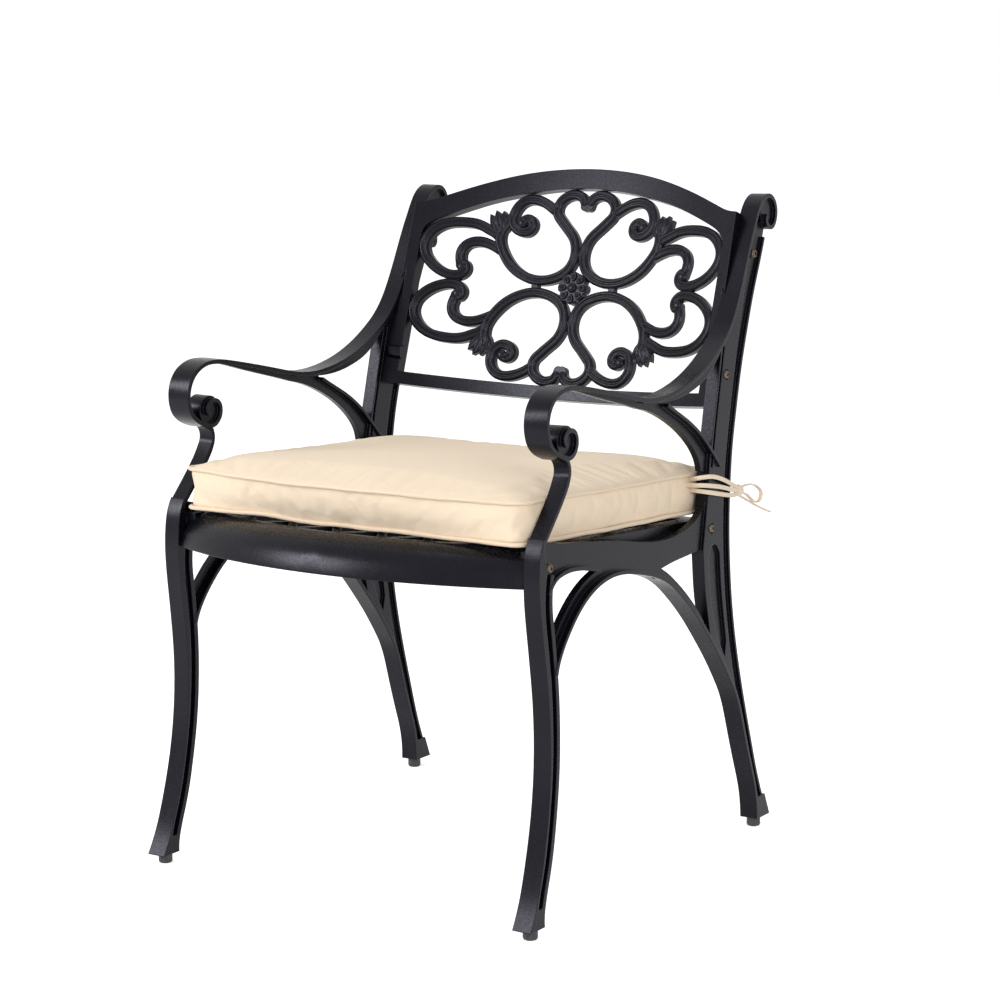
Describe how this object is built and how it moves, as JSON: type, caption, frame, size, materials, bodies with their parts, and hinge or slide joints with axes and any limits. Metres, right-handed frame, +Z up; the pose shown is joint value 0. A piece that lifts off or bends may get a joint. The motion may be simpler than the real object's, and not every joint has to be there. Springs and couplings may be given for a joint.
{
  "type": "garden armchair",
  "caption": "Cast metal garden armchair with an open scrollwork back, curled arms, splayed legs, a lattice seat and a tied box cushion.",
  "frame": {"origin": "on the floor, under the middle of the chair's bounding box", "axes": "+X to the sitter's left, -Y the way the chair faces, +Z up"},
  "size_m": [0.5642, 0.6366, 0.8407],
  "materials": {
    "frame_paint": "satin black powder coat over cast metal",
    "fastener_steel": "blackened steel, lightly worn",
    "glide_plastic": "moulded plastic",
    "cushion_fabric": "woven beige outdoor fabric with piped seams",
    "tie_fabric": "narrow ties of the cushion's own fabric"
  },
  "bodies": {
    "root": {"left_side_frame": "frame_paint", "right_side_frame": "frame_paint", "back_panel": "frame_paint", "seat_panel": "frame_paint", "seat_bolts": "fastener_steel", "seat_spring_washers": "fastener_steel", "seat_flat_washers": "fastener_steel", "back_bolts": "fastener_steel", "back_spring_washers": "fastener_steel", "back_flat_washers": "fastener_steel", "front_glides": "glide_plastic", "rear_glides": "glide_plastic", "seat_cushion": "cushion_fabric", "left_tie_knot": "tie_fabric", "left_tie_strands": "tie_fabric", "left_tie_bow": "tie_fabric", "left_tie_tail": "tie_fabric", "right_tie_knot": "tie_fabric", "right_tie_strands": "tie_fabric", "right_tie_bow": "tie_fabric", "right_tie_tail": "tie_fabric"}
  },
  "joints": []
}
